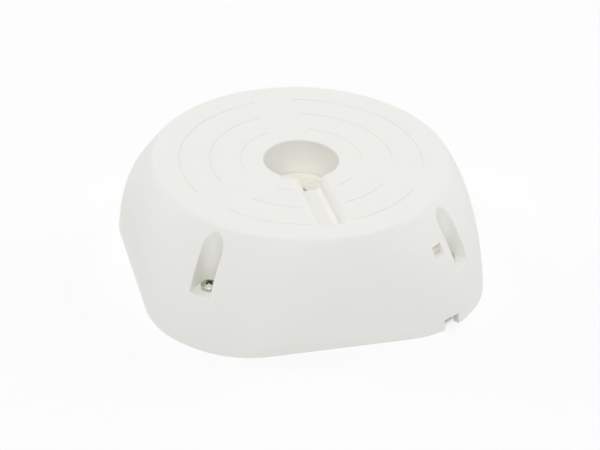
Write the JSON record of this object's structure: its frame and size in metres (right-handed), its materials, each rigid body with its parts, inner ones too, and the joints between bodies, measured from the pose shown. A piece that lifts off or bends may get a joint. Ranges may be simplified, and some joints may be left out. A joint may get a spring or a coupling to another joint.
{
  "type": "camera junction box",
  "caption": "Surface box that carries a dome camera: flat round seat with cable hole and slot, screwed over a wall plate, with a side cable entry.",
  "frame": {"origin": "middle of the box in the plane of its open side, which goes against the wall or ceiling", "axes": "+Z out of the camera seat, -Y towards the closed end of the cable slot, +X to the right when the slot points to the viewer"},
  "size_m": [0.1604, 0.1604, 0.052],
  "materials": {
    "cover_plastic": "fine moulded matt, warm white",
    "plate_plastic": "fine moulded matt, warm white",
    "gasket_foam": "closed-cell foam, black",
    "grommet_rubber": "soft matt rubber, cream",
    "bush_rubber": "matt rubber, black",
    "clamp_plastic": "matt nylon, warm white",
    "screw_steel": "stainless, satin",
    "washer_plastic": "nylon",
    "insert_brass": "turned"
  },
  "bodies": {
    "root": {"cover_shell": "cover_plastic", "base_plate": "plate_plastic", "wall_gasket": "gasket_foam", "cable_grommet": "grommet_rubber", "window_plug": "grommet_rubber", "rear_cable_bush": "bush_rubber", "cable_clamp": "clamp_plastic", "clamp_screw_left": "screw_steel", "clamp_screw_right": "screw_steel", "cover_screw_back_left": "screw_steel", "cover_screw_back_right": "screw_steel", "cover_screw_front_left": "screw_steel", "cover_screw_front_right": "screw_steel", "retaining_washer_back_left": "washer_plastic", "retaining_washer_back_right": "washer_plastic", "retaining_washer_front_left": "washer_plastic", "retaining_washer_front_right": "washer_plastic", "threaded_insert_back_left": "insert_brass", "threaded_insert_back_right": "insert_brass", "threaded_insert_front_left": "insert_brass", "threaded_insert_front_right": "insert_brass"}
  },
  "joints": []
}
